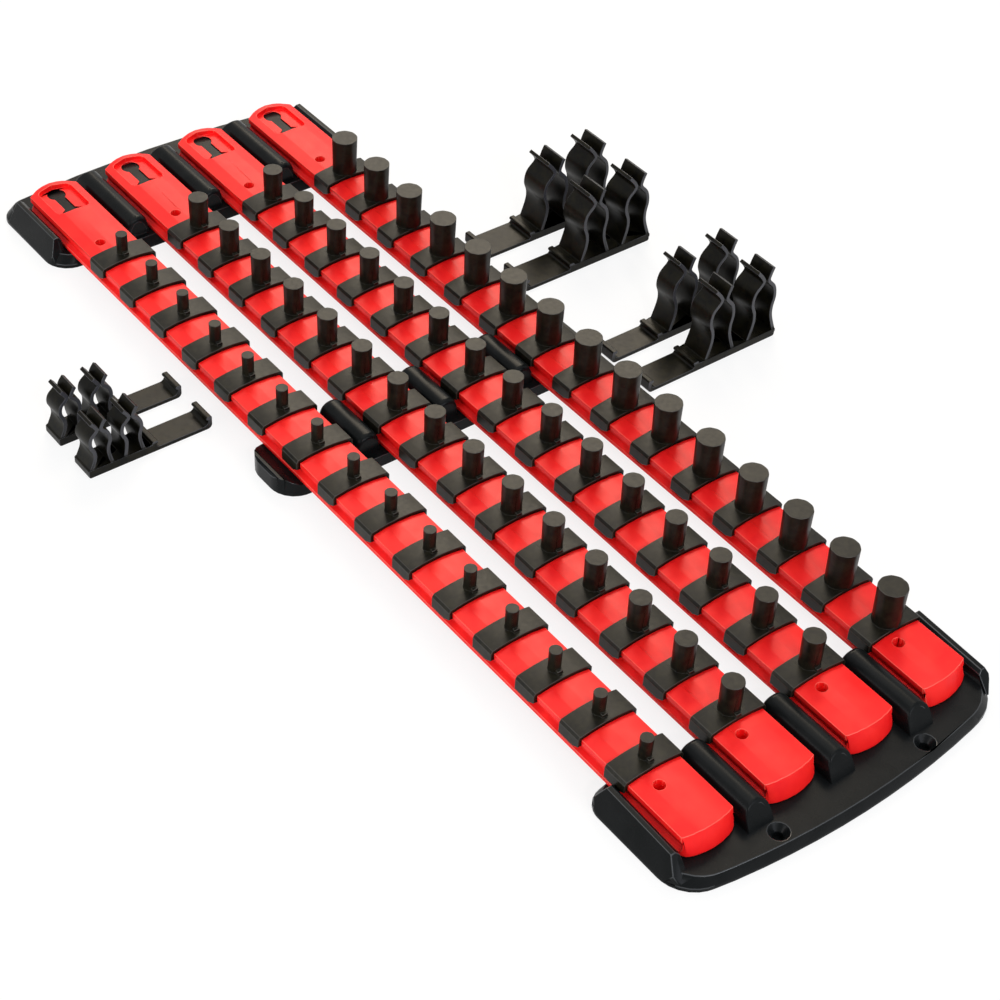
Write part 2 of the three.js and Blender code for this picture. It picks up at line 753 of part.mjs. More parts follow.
// A clip's strip with its hook and ridge, and two pairs of fingers.
// The hook is at hookX and the strip runs from there the way given as 1 or -1.
// The gaps are those before, between and after the two pairs of fingers.
function toolClip(hookX, way, gaps, grip, tipZ, length) {
  const innerX = hookX + way * hookThickness;
  const lipX = innerX + way * hookLip;
  const ridgeX = innerX + way * seatLength;
  const ridgeEndX = ridgeX + way * ridgeThickness;
  const nearX = ridgeEndX + way * (gaps[0] + grip);
  const farX = nearX + way * (gaps[1] + grip + grip);
  const endX = farX + way * (gaps[2] + grip);
  const lipZone = hookHeight - hookThickness;
  const strip = prismY(
    [
      [hookX, 0],
      [hookX, hookHeight],
      [lipX, hookHeight],
      [lipX, lipZone],
      [innerX, lipZone],
      [innerX, stripThickness],
      [ridgeX, stripThickness],
      [ridgeX, ridgeHeight],
      [ridgeEndX, ridgeHeight],
      [ridgeEndX, baseThickness],
      [endX, baseThickness],
      [endX, 0],
    ],
    0,
    length,
  );
  const fingers = [nearX, farX].flatMap((x) => [-1, 1].map((side) => fingerSection(x, side, grip, tipZ)));
  const ring = (section, y, slope) => section.map(([x, z]) => {
    return new THREE.Vector3(x, y + (slope * z) / tipZ, z);
  });
  return fingers.reduce((sum, section) => {
    const rings = [ring(section, 0, fingerTaper), ring(section, length, -fingerTaper)];
    return sum.add(solidOf(loft(rings)));
  }, strip);
}

// The whole holder
const holder = new THREE.Group();

function addPiece(name, solid, finish, x, y) {
  const mesh = new THREE.Mesh(geometryOf(solid), new THREE.MeshStandardMaterial(finish));
  mesh.name = name;
  mesh.position.set(x, y, 0);
  holder.add(mesh);
}

addPiece("front_tray", frontTray(), blackPlastic, 0, 0);
addPiece("middle_tray", middleTray(), blackPlastic, 0, 0);
addPiece("rear_tray", rearTray(), blackPlastic, 0, 0);

railShares.forEach((share, i) => {
  const railX = share * railSpacing;
  const railName = "rail_" + (i + 1);
  addPiece(railName, rail(railNoseSkews[i]), redPlastic, railX, railShifts[i]);
  const single = socketClip(postRadii[i], postHeights[i]);
  const pair = clipPair(single);
  for (let number = 1; number <= clipCount; number++) {
    const y = railRearY - clipRearGap - (number - 1) * clipPitch;
    const paired = number <= pairCounts[i] * 2;
    const base = railName + "_clip_" + String(number).padStart(2, "0");
    if (paired) addPiece(base + "_" + String(number + 1).padStart(2, "0"), pair, blackPlastic, railX, y);
    else addPiece(base, single, blackPlastic, railX, y);
    if (paired) number++;
  }
});

smallStripYs.forEach(([startY, endY], i) => {
  const clip = toolClip(smallHookX, -1, smallGaps, smallGrip, smallTipZ, endY - startY);
  addPiece("small_tool_clip_" + (i + 1), clip, glossBlackPlastic, 0, startY);
});

largeStripYs.forEach(([startY, endY], i) => {
  const clip = toolClip(largeHookX, 1, largeGaps, largeGrip, largeTipZ, endY - startY);
  addPiece("large_tool_clip_" + (i + 1), clip, glossBlackPlastic, 0, startY);
});

export default holder;
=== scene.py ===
# %% [markdown]
# A socket holder for a tool drawer: four red rails lie on three black trays, and each
# rail carries fifteen black clips with a post for a socket. Six loose tool clips with
# sprung fingers lie beside it.
# The imported model gives the shapes and their places. This script dresses it, so the
# first step loads that model.

# %% Load the imported model
import json
import math
import bmesh
import bpy
from mathutils import Matrix, Vector

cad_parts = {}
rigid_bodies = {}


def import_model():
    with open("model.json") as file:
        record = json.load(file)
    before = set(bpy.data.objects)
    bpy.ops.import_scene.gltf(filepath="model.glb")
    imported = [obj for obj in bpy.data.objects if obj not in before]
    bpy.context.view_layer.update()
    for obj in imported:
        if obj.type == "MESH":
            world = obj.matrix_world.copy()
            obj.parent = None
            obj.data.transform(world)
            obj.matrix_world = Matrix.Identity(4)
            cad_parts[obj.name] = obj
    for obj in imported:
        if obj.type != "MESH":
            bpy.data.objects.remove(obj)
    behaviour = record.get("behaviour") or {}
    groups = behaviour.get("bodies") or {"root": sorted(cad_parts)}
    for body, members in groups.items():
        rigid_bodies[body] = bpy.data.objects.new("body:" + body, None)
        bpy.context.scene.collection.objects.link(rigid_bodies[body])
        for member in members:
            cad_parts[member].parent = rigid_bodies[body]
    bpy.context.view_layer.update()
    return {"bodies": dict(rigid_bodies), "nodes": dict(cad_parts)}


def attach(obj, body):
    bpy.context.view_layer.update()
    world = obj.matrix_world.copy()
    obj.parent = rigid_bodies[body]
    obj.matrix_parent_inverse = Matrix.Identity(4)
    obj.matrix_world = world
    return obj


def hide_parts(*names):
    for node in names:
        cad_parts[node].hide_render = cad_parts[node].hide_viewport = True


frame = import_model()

# %% [markdown]
# Sizes are written in millimetres, as on a drawing, and Blender works in metres.
# Colours are written as the hex values that a paint program shows. Blender's shaders
# want linear light, so one function turns the first into the second.

# %% Units and colours
MM = 0.001


def colour(hex_value):
    """A linear colour with alpha, from an sRGB hex value."""
    parts = [int(hex_value[i:i + 2], 16) / 255 for i in (1, 3, 5)]
    linear = [p / 12.92 if p <= 0.04045 else ((p + 0.055) / 1.055) ** 2.4 for p in parts]
    return (*linear, 1.0)


print("the red of the rails in linear light:", [round(v, 3) for v in colour("#f4161a")])

# %% [markdown]
# The camera comes first, so that every later step can be looked at from it. A long lens
# stands at the front left, well above the bench, and is turned a little about its own
# axis, which is why the rails run so steeply across the picture.

# %% Camera
CAMERA_MM = (-453.3, -598.8, 626.3)
CAMERA_AZIMUTH, CAMERA_ELEVATION, CAMERA_ROLL = 39.761, 41.994, 3.686
SENSOR_MM = 36.0
FOCAL_SHARE = 2.2418
FARTHEST_SEEN_M = 20


def camera_axes(azimuth, elevation, roll):
    """The camera's right, up and backward directions."""
    a, e, r = (math.radians(v) for v in (azimuth, elevation, roll))
    back = Vector((-math.sin(a) * math.cos(e), -math.cos(a) * math.cos(e), math.sin(e)))
    level = Vector((math.cos(a), -math.sin(a), 0))
    right = level * math.cos(r) + back.cross(level) * math.sin(r)
    return right, back.cross(right), back


lens = bpy.data.cameras.new("camera")
lens.sensor_width = SENSOR_MM
lens.lens = SENSOR_MM * FOCAL_SHARE
lens.clip_end = FARTHEST_SEEN_M
camera = bpy.data.objects.new("camera", lens)
axes = camera_axes(CAMERA_AZIMUTH, CAMERA_ELEVATION, CAMERA_ROLL)
turned = Matrix(axes).transposed().to_4x4()
camera.matrix_world = Matrix.Translation(Vector(CAMERA_MM) * MM) @ turned
bpy.context.scene.collection.objects.link(camera)
bpy.context.scene.camera = camera
print("lens", round(lens.lens, 1), "mm, height", round(camera.location.z, 3), "m")

# %% [markdown]
# One small function adds a node, with its settings, its input values and its links.
# Every material and every Geometry Nodes tree below is written with it.

# %% A helper for nodes
def node(tree, kind, values=None, links=None, **settings):
    """Adds one node to a tree and returns it."""
    made = tree.nodes.new(kind)
    for key, value in settings.items():
        setattr(made, key, value)
    for key, value in (values or {}).items():
        made.inputs[key].default_value = value
    for key, socket in (links or {}).items():
        tree.links.new(socket, made.inputs[key])
    return made


# %% [markdown]
# All the pieces are injection moulded plastic. It has three things that the eye reads:
# clouds of slightly lighter and darker colour where the melt cooled, a skin that is not
# quite flat, so that highlights wander, and a fine grain from the mould's steel. One
# function makes all three from noise at real sizes, and each finish calls it with its own
# colours and sizes. Rims get a lighter edge colour, which is a painted highlight, and more
# real shine. Where they are is written in each mesh, as a number at each point.

# %% A moulded plastic
DARK_BELOW, LIGHT_ABOVE, GLOSS_SHARE = 0.32, 0.7, 0.6


def moulded_plastic(name, dark, light, edge, cloud_mm, wave_mm, grain_mm, wave_depth_mm,
                    grain_depth_mm, smooth, rough, specular, edge_specular):
    """A moulded plastic whose clouds, waves and grain are given in millimetres."""
    material = bpy.data.materials.new(name)
    material.use_nodes = True
    tree = material.node_tree
    shader = tree.nodes["Principled BSDF"]
    place = node(tree, "ShaderNodeTexCoord").outputs["Object"]

    def noise(size_mm, detail, distortion=0.0):
        values = {"Scale": 1 / (size_mm * MM), "Detail": detail, "Distortion": distortion}
        return node(tree, "ShaderNodeTexNoise", values, {"Vector": place}).outputs["Fac"]

    clouds = noise(cloud_mm, detail=4.0, distortion=0.6)
    ramp = node(tree, "ShaderNodeValToRGB", links={"Fac": clouds})
    ramp.color_ramp.elements[0].position = DARK_BELOW
    ramp.color_ramp.elements[0].color = colour(dark)
    ramp.color_ramp.elements[1].position = LIGHT_ABOVE
    ramp.color_ramp.elements[1].color = colour(light)

    # The rim number mixes in the edge colour, which is a painted highlight, and raises the real
    # shine.
    rim = node(tree, "ShaderNodeAttribute", attribute_name="rim").outputs["Fac"]
    painted_rim_highlight = node(tree, "ShaderNodeMixRGB", {"Color2": colour(edge)},
                {"Fac": rim, "Color1": ramp.outputs["Color"]})
    tree.links.new(painted_rim_highlight.outputs["Color"], shader.inputs["Base Color"])
    shine = node(tree, "ShaderNodeMapRange", {"To Min": specular, "To Max": edge_specular},
                 {"Value": rim})
    tree.links.new(shine.outputs["Result"], shader.inputs["Specular IOR Level"])

    gloss = node(tree, "ShaderNodeMapRange", {"To Min": smooth, "To Max": rough},
                 {"Value": noise(cloud_mm * GLOSS_SHARE, detail=3.0)})
    tree.links.new(gloss.outputs["Result"], shader.inputs["Roughness"])

    wave = node(tree, "ShaderNodeBump", {"Strength": 1.0, "Distance": wave_depth_mm * MM},
                {"Height": noise(wave_mm, detail=1.0)})
    grain = node(tree, "ShaderNodeBump", {"Strength": 1.0, "Distance": grain_depth_mm * MM},
                 {"Height": noise(grain_mm, detail=2.0), "Normal": wave.outputs["Normal"]})
    tree.links.new(grain.outputs["Normal"], shader.inputs["Normal"])
    return material


# %% [markdown]
# The rails are red ABS, glossy enough to show soft highlights. Its clouds are about 9 mm
# wide, its skin waves every 14 mm or so, and its grain, really 0.1 mm, is drawn at 0.5 mm
# so that it shows.

# %% Red ABS
# Its edge colour is a painted highlight on the rims.
red_abs = moulded_plastic(
    "moulded_red_abs", dark="#f4161a", light="#ff2420", edge="#ff5548", cloud_mm=9, wave_mm=14,
    grain_mm=0.5, wave_depth_mm=0.12, grain_depth_mm=0.006, smooth=0.3, rough=0.44,
    specular=0.18, edge_specular=0.4)
print("made", red_abs.name)

# %% [markdown]
# The socket clips and the trays are black polypropylene. It is filled with carbon black,
# which looks brownish where light falls on it from above. It shines less than ABS.

# %% Black polypropylene
# Their edge colours are painted highlights on the rims.
clip_black = moulded_plastic(
    "moulded_black_polypropylene", dark="#100f0c", light="#211f16", edge="#2c2a24", cloud_mm=3,
    wave_mm=6, grain_mm=0.5, wave_depth_mm=0.05, grain_depth_mm=0.012, smooth=0.26, rough=0.46,
    specular=0.14, edge_specular=0.4)
tray_black = moulded_plastic(
    "moulded_black_tray", dark="#0a0d0e", light="#131516", edge="#2c2f32", cloud_mm=12,
    wave_mm=20, grain_mm=0.5, wave_depth_mm=0.06, grain_depth_mm=0.003, smooth=0.2, rough=0.36,
    specular=0.08, edge_specular=0.45)
print("made", clip_black.name, "and", tray_black.name)

# %% [markdown]
# The loose tool clips are black nylon, which springs without cracking and comes out of
# the mould smoother and darker than polypropylene. The narrow sides of their fingers get
# the painted rim highlight too, a lighter grey.

# %% Black nylon
# Its edge colour is a painted highlight on the rims and the finger sides.
nylon_black = moulded_plastic(
    "moulded_black_nylon", dark="#080807", light="#1a180e", edge="#34353a", cloud_mm=4,
    wave_mm=9, grain_mm=0.5, wave_depth_mm=0.05, grain_depth_mm=0.006, smooth=0.26, rough=0.42,
    specular=0.11, edge_specular=0.35)
print("made", nylon_black.name)

# %% [markdown]
# Every piece ends the same way. Its modifiers are worked into a plain mesh, which sits at
# the origin with its place in its points. Then it is shaded smooth except at real
# corners, it gets its material and is hung on the body that it rides on, and the solid
# that it stands for is hidden.

# %% Helpers that finish a piece
def plain_mesh(obj, name):
    """The object with its modifiers worked in, as a new plain mesh object."""
    bpy.context.view_layer.update()
    graph = bpy.context.evaluated_depsgraph_get()
    mesh = bpy.data.meshes.new_from_object(obj.evaluated_get(graph))
    mesh.name = name
    made = bpy.data.objects.new(name, mesh)
    bpy.context.scene.collection.objects.link(made)
    bpy.data.objects.remove(obj)
    return made


def dress(obj, material, body, solid):
    """Gives a finished piece its material, its body and the solid it replaces."""
    obj.data.materials.clear()
    obj.data.materials.append(material)
    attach(obj, body)
    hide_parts(solid)


def shade(obj, angle=38):
    """Smooth shading up to an angle, weighted by the size of the faces."""
    obj.data.shade_smooth()
    obj.data.set_sharp_from_angle(angle=math.radians(angle))
    weighted = obj.modifiers.new("normals", "WEIGHTED_NORMAL")
    weighted.keep_sharp = True
    return obj


# %% [markdown]
# A sharp edge never catches the light, and that is what makes a model look drawn. So a
# Bevel modifier rounds the edges, and puts the faces that it makes into a material slot
# of their own. A point with only such faces around it lies on a rim, and gets the number
# with which the plastic paints its rim highlight. Then the slots are emptied. The rounding
# isn't held back at short edges, or it would be held back everywhere, and it may fold a
# little there.

# %% Helpers that round edges and mark rims
EDGE_SEGMENTS, EDGE_ANGLE, SHORTEST_EDGE_MM = 3, 26, 0.8
ROUNDED_SLOT = 1

# The edges at a rim's point turn outward by more than LEAST_TURN radians in all, and a
# side is a face whose direction is nearly along y.
LEAST_TURN, SIDEWAYS = 0.2, 0.97


def outer_edges_only(obj):
    """Weighs the edges, so that a bevel rounds only long ones that stand out."""
    work = bmesh.new()
    work.from_mesh(obj.data)
    weight = work.edges.layers.float.new("bevel_weight_edge")
    for edge in work.edges:
        stands_out = edge.calc_face_angle_signed(0) > math.radians(EDGE_ANGLE)
        edge[weight] = 1.0 if stands_out and edge.calc_length() > SHORTEST_EDGE_MM * MM else 0.0
    work.to_mesh(obj.data)
    work.free()


def soften(obj, width_mm, angle=EDGE_ANGLE):
    """Rounds the weighed edges, or all that are sharper than an angle if none is weighed."""
    for _ in range(ROUNDED_SLOT + 1):
        obj.data.materials.append(None)
    bevel = obj.modifiers.new("edges", "BEVEL")
    bevel.material = ROUNDED_SLOT
    bevel.width = width_mm * MM
    bevel.segments = EDGE_SEGMENTS
    bevel.limit_method = "WEIGHT" if "bevel_weight_edge" in obj.data.attributes else "ANGLE"
    bevel.angle_limit = math.radians(angle)
    bevel.use_clamp_overlap = False


# The 1 written here gives a point the lighter edge colour, which is a painted highlight.
def mark_rims(obj, sides_above_mm=math.inf):
    """Writes 1 at the points inside a rounded outer edge and 0 at all others. Above a
    height, narrow sides that face front or rear count as rims too. A point that a fold
    has pushed below the table is lifted back to it."""
    work = bmesh.new()
    work.from_mesh(obj.data)
    rim = work.verts.layers.float.new("rim")
    for point in work.verts:
        turn = sum(edge.calc_face_angle_signed(0) for edge in point.link_edges)
        rounded_all = all(face.material_index == ROUNDED_SLOT for face in point.link_faces)
        on_side = point.co.z > sides_above_mm * MM and all(
            face.material_index == ROUNDED_SLOT or abs(face.normal.y) > SIDEWAYS
            for face in point.link_faces)
        point[rim] = 1.0 if on_side or (rounded_all and turn > LEAST_TURN) else 0.0
        point.co.z = max(point.co.z, 0)
    for face in work.faces:
        face.material_index = 0
    work.to_mesh(obj.data)
    work.free()
    obj.data.materials.clear()
    return obj


def softened(obj, width_mm):
    """The same piece with its edges rounded, its rims marked and its shading set."""
    name = obj.name
    soften(obj, width_mm)
    return plain_mesh(shade(mark_rims(plain_mesh(obj, name))), name)


# %% [markdown]
# The solids of the trays and rails already have the right shape, so copies of them are
# worked on. A copy is welded, and the triangles of its flat faces are joined again. On the
# rails, a face that then has very many corners would fold when its edges are rounded, so
# such faces are split once more.

# %% Welded copies of the solids
WELD_MM, CUT_WELD_MM, FLAT_DEGREES, MANY_CORNERS = 0.002, 0.01, 0.1, 20


def welded_copy(solid, name):
    """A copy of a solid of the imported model, its points merged and its flats joined."""
    work = bmesh.new()
    work.from_mesh(frame["nodes"][solid].data)
    bmesh.ops.remove_doubles(work, verts=work.verts, dist=WELD_MM * MM)
    bmesh.ops.dissolve_limit(work, angle_limit=math.radians(FLAT_DEGREES), verts=work.verts,
                             edges=work.edges)
    mesh = bpy.data.meshes.new(name)
    work.to_mesh(mesh)
    work.free()
    obj = bpy.data.objects.new(name, mesh)
    bpy.context.scene.collection.objects.link(obj)
    return obj


def split_big_faces(obj):
    """Welds what the cuts left almost together and splits the faces with many corners."""
    work = bmesh.new()
    work.from_mesh(obj.data)
    bmesh.ops.remove_doubles(work, verts=work.verts, dist=CUT_WELD_MM * MM)
    big = [face for face in work.faces if len(face.verts) > MANY_CORNERS]
    bmesh.ops.triangulate(work, faces=big)
    work.to_mesh(obj.data)
    work.free()


# %% [markdown]
# Some forms are built here from their sections, with more points than the solids have. A
# section is a list of points, and a piece is a skin through two or more sections.

# %% Helpers that build from sections
def skin(rings, name):
    """A closed mesh object through rings with the same number of points, in millimetres."""
    work = bmesh.new()
    rows = [[work.verts.new(Vector(point) * MM) for point in ring] for ring in rings]
    count = len(rows[0])
    for low, high in zip(rows, rows[1:]):
        for i in range(count):
            j = (i + 1) % count
            work.faces.new((low[i], low[j], high[j], high[i]))
    work.faces.new(rows[0][::-1])
    work.faces.new(rows[-1])
    bmesh.ops.recalc_face_normals(work, faces=work.faces)
    mesh = bpy.data.meshes.new(name)
    work.to_mesh(mesh)
    work.free()
    obj = bpy.data.objects.new(name, mesh)
    bpy.context.scene.collection.objects.link(obj)
    return obj


def combine(obj, other, operation):
    """Joins another closed mesh to the object, or cuts it away."""
    change = obj.modifiers.new("combine", "BOOLEAN")
    change.operation = operation
    change.solver = "EXACT"
    change.object = other
    made = plain_mesh(obj, obj.name)
    bpy.data.objects.remove(other)
    return made


def rounded(corners, steps=4):
    """A closed outline whose corners (x, y, radius) are rounded."""
    outline = []
    for i, (x, y, radius) in enumerate(corners):
        here = Vector((x, y))
        if not radius:
            outline.append((x, y))
            continue
        before = Vector(corners[i - 1][:2])
        after = Vector(corners[(i + 1) % len(corners)][:2])
        back, ahead = (before - here).normalized(), (after - here).normalized()
        half = back.angle(ahead) / 2
        centre = here + (back + ahead).normalized() * radius / math.sin(half)
        start = here + back * radius / math.tan(half) - centre
        end = here + ahead * radius / math.tan(half) - centre
        for step in range(steps + 1):
            way = start.lerp(end, step / steps).normalized() * radius
            outline.append(tuple(centre + way))
    return outline


def at_y(section, y):
    """A section of (x, z) points, stood up at y."""
    return [(x, y, z) for x, z in section]


CURVE_STEPS = 5


def smooth_path(points):
    """A smooth curve through the points."""
    ends = [points[0] * 2 - points[1], *points, points[-1] * 2 - points[-2]]
    path = []
    for a, b, c, d in zip(ends, ends[1:], ends[2:], ends[3:]):
        for i in range(CURVE_STEPS):
            t = i / CURVE_STEPS
            path.append(0.5 * (2 * b + (c - a) * t + (2 * a - 5 * b + 4 * c - d) * t * t
                               + (3 * b - a - 3 * c + d) * t ** 3))
    return [*path, points[-1]]


def round_bar(x, y, radius, low, high, name, sides=32):
    """A round upright bar, used to join or to cut."""
    return skin([[(x + radius * math.cos(i * math.tau / sides),
                   y + radius * math.sin(i * math.tau / sides), z) for i in range(sides)]
                 for z in (low, high)], name)


def block(low, high, name):
    """A plain block between two corners, used to cut."""
    (x0, y0, z0), (x1, y1, z1) = low, high
    return skin([[(x0, y0, z), (x1, y0, z), (x1, y1, z), (x0, y1, z)] for z in (z0, z1)], name)


# %% [markdown]
# The three trays are thick plates with a bevelled rim, and a ridge along each side. Round
# ribs stand between the rails. On the solids these have a few flats, and here a smooth
# rib swallows each of them. Its section is a curve through a few points. On the front and
# rear trays its outer end is cut off at a slant, and the rim of that cut is round.

# %% Smooth ribs
RAIL_SPACING, MIDDLE_NUMBER = 40.8, 2.5
FLOOR_Z, RIB_TOP, RIB_ROOT, RIB_HALF = 6, 16.0, 2, 6.15
RIB_WIDTHS = (1, 0.985, 0.95, 0.87, 0.71, 0.42, 0)
RIB_HEIGHTS = (0, 0.28, 0.5, 0.66, 0.82, 0.95, 1)
NOSE_LEAN, NOSE_ROUND, NOSE_STEPS, NOSE_DROP = 5, 1.0, 6, 0.06


def rib_section(size):
    """A rib's closed section (x, z) at a share of its full size."""
    height = (RIB_TOP - FLOOR_Z) * size
    corners = [Vector((w * RIB_HALF * size, FLOOR_Z + height * h))
               for w, h in zip(RIB_WIDTHS, RIB_HEIGHTS)]
    top = Vector((-corners[-2].x, corners[-2].y))
    right = smooth_path([*corners, top])[:-CURVE_STEPS]
    left = [Vector((-point.x, point.y)) for point in right[-2::-1]]
    foot, root = RIB_HALF * size, FLOOR_Z - RIB_ROOT
    return [(foot, root)] + [tuple(p) for p in right + left] + [(-foot, root)]


def nose_stations(y, way):
    """The stations of a rib's slanted end at y, its middle lying the given way."""
    stations = []
    for i in range(NOSE_STEPS + 1):
        angle = math.pi / 2 * i / NOSE_STEPS
        stations.append((y + way * NOSE_ROUND * (1 - math.sin(angle)),
                         1 - NOSE_DROP * (1 - math.cos(angle)), -way * NOSE_LEAN))
    return stations


def smooth_rib(x, stations):
    """A rib through stations of y, size share and lean."""
    rings = [[(x + px, y + lean * (RIB_TOP - pz) / (RIB_TOP - FLOOR_Z), pz)
              for px, pz in rib_section(size)] for y, size, lean in stations]
    return skin(rings, "rib")


# Each station is a y, a share of the rib's full size and a lean.
RIB_STATIONS = {
    "front_tray": [(-220.5, 0.8, 0), (-221.3, 0.93, 0), (-223, 1, 0), *nose_stations(-256.3, 1)],
    "middle_tray": [(-15, 0.8, 0), (-14.2, 0.93, 0), (-12.5, 1, 0), (12.5, 1, 0),
                    (14.2, 0.93, 0), (15, 0.8, 0)],
    "rear_tray": [(174, 0.8, 0), (174.8, 0.93, 0), (176.5, 1, 0), *nose_stations(220.5, -1)],
}

# %% [markdown]
# The two screw holes look black from above, where the table under them lies in shade, so
# each gets a thin black floor: painted shade. The keyholes look black too, so a low pad of
# the rear tray stands in the room below each of them. Then the long outer edges of each
# tray are rounded by a third of a millimetre, and the rounding and the painted highlight
# on these rims draw the thin light line along them. Then the tray gets its black.

# %% Trays
SCREW_X, SCREW_Y, SCREW_SHANK = 37.2, -266.4, 2.1
RAIL_SHIFTS = (-1.4, -0.2, 0.2, 0.4)
SHADE_PLUG_FOOT, SHADE_PLUG_TOP, TRAY_EDGE_MM, OVERRUN = 0.2, 1.0, 0.35, 1
PAD_HALF, PAD_FRONT_Y, PAD_REAR_Y, PAD_TOP = 7.4, 198, 220.2, 12.95


def rail_middle(number):
    """The x of a rail's middle."""
    return (number - MIDDLE_NUMBER) * RAIL_SPACING


for solid, stations in RIB_STATIONS.items():
    tray = welded_copy(solid, solid + "_moulded")
    for place in (-1, 0, 1):
        tray = combine(tray, smooth_rib(place * RAIL_SPACING, stations), "UNION")
    if solid == "front_tray":
        # A thin black plug closes each screw hole from below. It is painted shade for the
        # shadowed table under the hole.
        for x in (-SCREW_X, SCREW_X):
            plug = round_bar(x, SCREW_Y, SCREW_SHANK, SHADE_PLUG_FOOT, SHADE_PLUG_TOP, "plug")
            tray = combine(tray, plug, "UNION")
    if solid == "rear_tray":
        for number, shift in enumerate(RAIL_SHIFTS, 1):
            low = (rail_middle(number) - PAD_HALF, PAD_FRONT_Y + shift, FLOOR_Z - OVERRUN)
            high = (rail_middle(number) + PAD_HALF, PAD_REAR_Y + shift, PAD_TOP)
            tray = combine(tray, block(low, high, "pad"), "UNION")
    outer_edges_only(tray)
    tray = softened(tray, TRAY_EDGE_MM)
    dress(tray, tray_black, "trays", solid)
    print(tray.name, len(tray.data.polygons), "faces")

# %% [markdown]
# Each rail has a slightly crowned deck, a groove down each side for the clips' feet, and
# a keyhole in a shallow pocket at the far end. The two round holes in its deck look dark,
# so they are drilled deeper here, into a boss below the deck. The room below the keyhole
# is opened up and its floor made thin, so that only the black pad shows through it.

# %% Rails
HOLE_OFFSET, HOLE_RADIUS, HOLE_YS = 3.5, 2.4, (-229.7, 168.1)
BOSS_RADIUS, BOSS_FOOT, BOSS_TOP, HOLE_FOOT, DRILL_TOP = 3.6, 8.6, 13.4, 9.4, 20
RAIL_EDGE_MM = 0.3
KEY_ROOM_LOW, KEY_ROOM_HIGH = (-8, 197.5, -1), (8, 220.6, 13.15)

for number, shift in enumerate(RAIL_SHIFTS, 1):
    solid = f"rail_{number}"
    middle = rail_middle(number)
    rail = welded_copy(solid, solid + "_moulded")
    for y in HOLE_YS:
        place = (middle - HOLE_OFFSET, y + shift)
        boss = round_bar(*place, BOSS_RADIUS, BOSS_FOOT, BOSS_TOP, "boss")
        rail = combine(rail, boss, "UNION")
        drill = round_bar(*place, HOLE_RADIUS, HOLE_FOOT, DRILL_TOP, "drill")
        rail = combine(rail, drill, "DIFFERENCE")
    low, high = ((x + middle, y + shift, z) for x, y, z in (KEY_ROOM_LOW, KEY_ROOM_HIGH))
    rail = combine(rail, block(low, high, "room"), "DIFFERENCE")
    split_big_faces(rail)
    rail = softened(rail, RAIL_EDGE_MM)
    dress(rail, red_abs, solid, solid)
    print(rail.name, len(rail.data.polygons), "faces")

# %% [markdown]
# A socket clip is a strap that arches over the rail and hooks under its deck, with a
# post on top. The post has ten flats so that a socket's square drive grips it, and a
# small lug stops the socket. The four rails carry posts of different sizes, so four
# clips are built, each at the origin.

# %% The four socket clips
STRAP_LENGTH, STRAP_OUTER, STRAP_INNER = 11.5, 14.0, 12.7
STRAP_TOP, STRAP_THICKNESS, STRAP_EDGE, STRAP_CORNER = 18.0, 1.4, 16.7, 0.9
HOOK_REACH, HOOK_TOP, LEG_FOOT = 1.2, 12.2, 10.2
SLOPE_LENGTH, SLOPE_HEIGHT, CUT_HALF = 3.2, 1.6, 20
POST_FLATS, POST_POINTS, POST_FLAT_SHARE = 10, 60, 0.009
POST_ROOT, POST_ROOT_SHARE = 0.9, 0.94
POST_RADII = (2.7, 4.6, 4.6, 6.15)
POST_TOPS = (27.9, 32.5, 32.7, 35.8)
LUG_HALF, LUG_REACH, LUG_HEIGHT, LUG_SETBACK = 1.3, 1.1, 1.4, 0.2
ARCH_STEPS, ARCH_POWER = 9, 1.9
CLIP_EDGE_MM = 0.25


def arch(half_width, top, edge):
    """Points over the crown of the rail, from the left to the right."""
    points = []
    for i in range(ARCH_STEPS + 1):
        share = 2 * i / ARCH_STEPS - 1
        points.append((share * half_width, top - (top - edge) * abs(share) ** ARCH_POWER))
    return points


def strap_section():
    """The strap's closed section across the rail."""
    outer = arch(STRAP_OUTER - STRAP_CORNER, STRAP_TOP, STRAP_EDGE)
    inner = arch(STRAP_INNER, STRAP_TOP - STRAP_THICKNESS, STRAP_EDGE - STRAP_THICKNESS)
    shoulder = STRAP_EDGE - STRAP_THICKNESS
    hook = STRAP_INNER - HOOK_REACH
    right = [(STRAP_OUTER, shoulder), (STRAP_OUTER, LEG_FOOT), (hook, LEG_FOOT),
             (hook, HOOK_TOP), (STRAP_INNER, HOOK_TOP)]
    left = [(-x, z) for x, z in right[::-1]]
    return outer + right + inner[::-1] + left


def post_ring(radius, z):
    """A circle with ten faint flats."""
    ring = []
    for i in range(POST_POINTS):
        angle = i * math.tau / POST_POINTS
        reach = radius * (1 - POST_FLAT_SHARE * (1 + math.cos(angle * POST_FLATS)))
        ring.append((reach * math.cos(angle), reach * math.sin(angle), z))
    return ring


